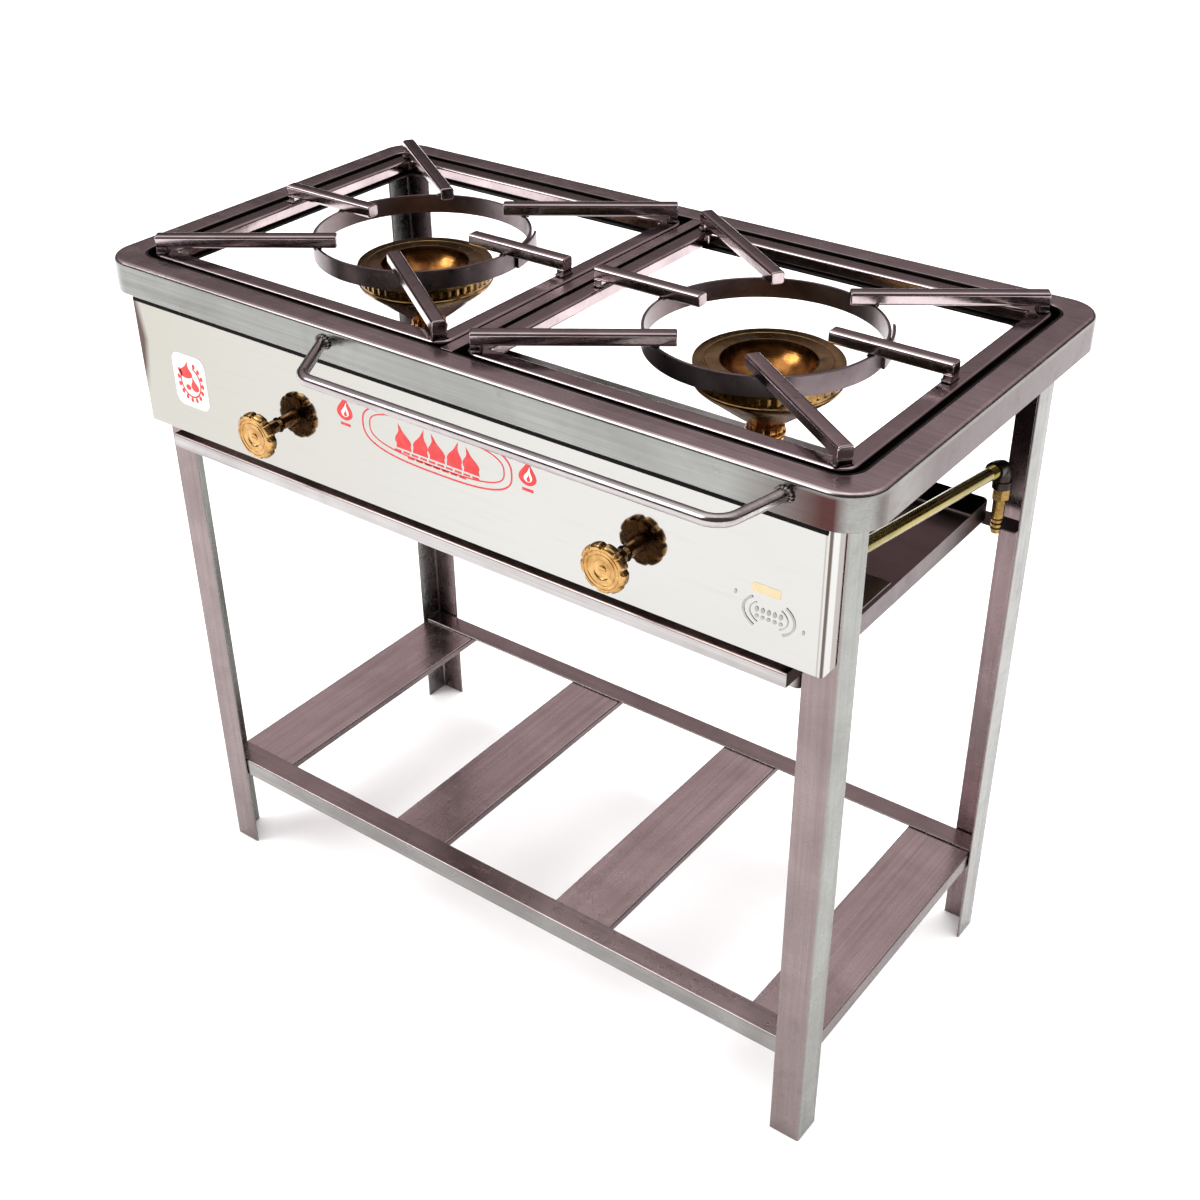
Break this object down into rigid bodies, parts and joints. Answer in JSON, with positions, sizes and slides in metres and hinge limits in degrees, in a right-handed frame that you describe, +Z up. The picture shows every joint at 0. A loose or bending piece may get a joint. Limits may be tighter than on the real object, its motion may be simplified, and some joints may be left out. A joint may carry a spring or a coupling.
{
  "type": "camp stove",
  "caption": "Floor-standing gas stove: open angle-iron frame, lift-off grates, brass knobs, mirror front panel, pull-out drip tray and slatted lower shelf.",
  "frame": {"origin": "on the floor under the middle of the whole stove's bounding box", "axes": "+Z up, the front with the knobs and handrail faces -Y, +X to the stove's right as seen from the front"},
  "size_m": [0.84, 0.5108, 0.7522],
  "materials": {
    "satin_steel": "satin",
    "mirror_steel": "mirror polished stainless sheet",
    "grate_steel": "satin",
    "burner_bronze": "dark heat-tinted casting",
    "turned_brass": "turned and polished",
    "plated_pipe": "yellow plated",
    "black_fitting": "black",
    "cast_tube": "raw casting"
  },
  "bodies": {
    "frame": {"top_rim": "satin_steel", "grate_ledge": "satin_steel", "centre_bar": "satin_steel", "leg_front_left": "satin_steel", "leg_front_right": "satin_steel", "leg_rear_left": "satin_steel", "leg_rear_right": "satin_steel", "front_panel": "mirror_steel", "handrail": "satin_steel", "shelf_rail_front": "satin_steel", "shelf_rail_rear": "satin_steel", "shelf_slat_1": "satin_steel", "shelf_slat_2": "satin_steel", "shelf_slat_3": "satin_steel", "shelf_slat_4": "satin_steel", "tray_rest_front": "satin_steel", "tray_rest_rear": "satin_steel", "burner_rail": "satin_steel", "burner_left": "burner_bronze", "mixing_tube_left": "cast_tube", "valve_left": "turned_brass", "injector_left": "turned_brass", "burner_right": "burner_bronze", "mixing_tube_right": "cast_tube", "valve_right": "turned_brass", "injector_right": "turned_brass", "manifold": "plated_pipe", "manifold_cap": "turned_brass", "elbow_front": "plated_pipe", "side_pipe": "plated_pipe", "elbow_rear": "black_fitting", "hose_inlet": "turned_brass"},
    "drip_tray": {"drip_tray": "satin_steel"},
    "knob_left": {"knob_left": "turned_brass", "valve_stem_left": "turned_brass"},
    "air_shutter_left": {"air_shutter_left": "satin_steel"},
    "burner_cap_left": {"burner_cap_left": "burner_bronze"},
    "grate_left": {"grate_frame_left": "grate_steel", "grate_ring_left": "grate_steel", "grate_arm_left_1": "grate_steel", "grate_arm_left_2": "grate_steel", "grate_arm_left_3": "grate_steel", "grate_arm_left_4": "grate_steel", "grate_arm_left_5": "grate_steel", "grate_arm_left_6": "grate_steel"},
    "knob_right": {"knob_right": "turned_brass", "valve_stem_right": "turned_brass"},
    "air_shutter_right": {"air_shutter_right": "satin_steel"},
    "burner_cap_right": {"burner_cap_right": "burner_bronze"},
    "grate_right": {"grate_frame_right": "grate_steel", "grate_ring_right": "grate_steel", "grate_arm_right_1": "grate_steel", "grate_arm_right_2": "grate_steel", "grate_arm_right_3": "grate_steel", "grate_arm_right_4": "grate_steel", "grate_arm_right_5": "grate_steel", "grate_arm_right_6": "grate_steel"}
  },
  "joints": [
    {"name": "tray_slide", "type": "slide", "parent": "frame", "child": "drip_tray", "axis": [0, -1, 0], "range_m": [0, 0.3]},
    {"name": "knob_left_turn", "type": "hinge", "parent": "frame", "child": "knob_left", "pos_m": [-0.2011, -0.2098, 0.6127], "axis": [0, -1, 0], "range_deg": [0, 180]},
    {"name": "air_shutter_left_turn", "type": "hinge", "parent": "frame", "child": "air_shutter_left", "pos_m": [-0.2011, -0.0942, 0.6127], "axis": [0, 1, 0], "range_deg": [-30, 30]},
    {"name": "burner_cap_left_lift", "type": "slide", "parent": "frame", "child": "burner_cap_left", "axis": [0, 0, 1], "range_m": [0, 0.03]},
    {"name": "grate_left_lift", "type": "slide", "parent": "frame", "child": "grate_left", "axis": [0, 0, 1], "range_m": [0, 0.12]},
    {"name": "knob_right_turn", "type": "hinge", "parent": "frame", "child": "knob_right", "pos_m": [0.2011, -0.2098, 0.6127], "axis": [0, -1, 0], "range_deg": [0, 180]},
    {"name": "air_shutter_right_turn", "type": "hinge", "parent": "frame", "child": "air_shutter_right", "pos_m": [0.2011, -0.0942, 0.6127], "axis": [0, 1, 0], "range_deg": [-30, 30]},
    {"name": "burner_cap_right_lift", "type": "slide", "parent": "frame", "child": "burner_cap_right", "axis": [0, 0, 1], "range_m": [0, 0.03]},
    {"name": "grate_right_lift", "type": "slide", "parent": "frame", "child": "grate_right", "axis": [0, 0, 1], "range_m": [0, 0.12]}
  ]
}
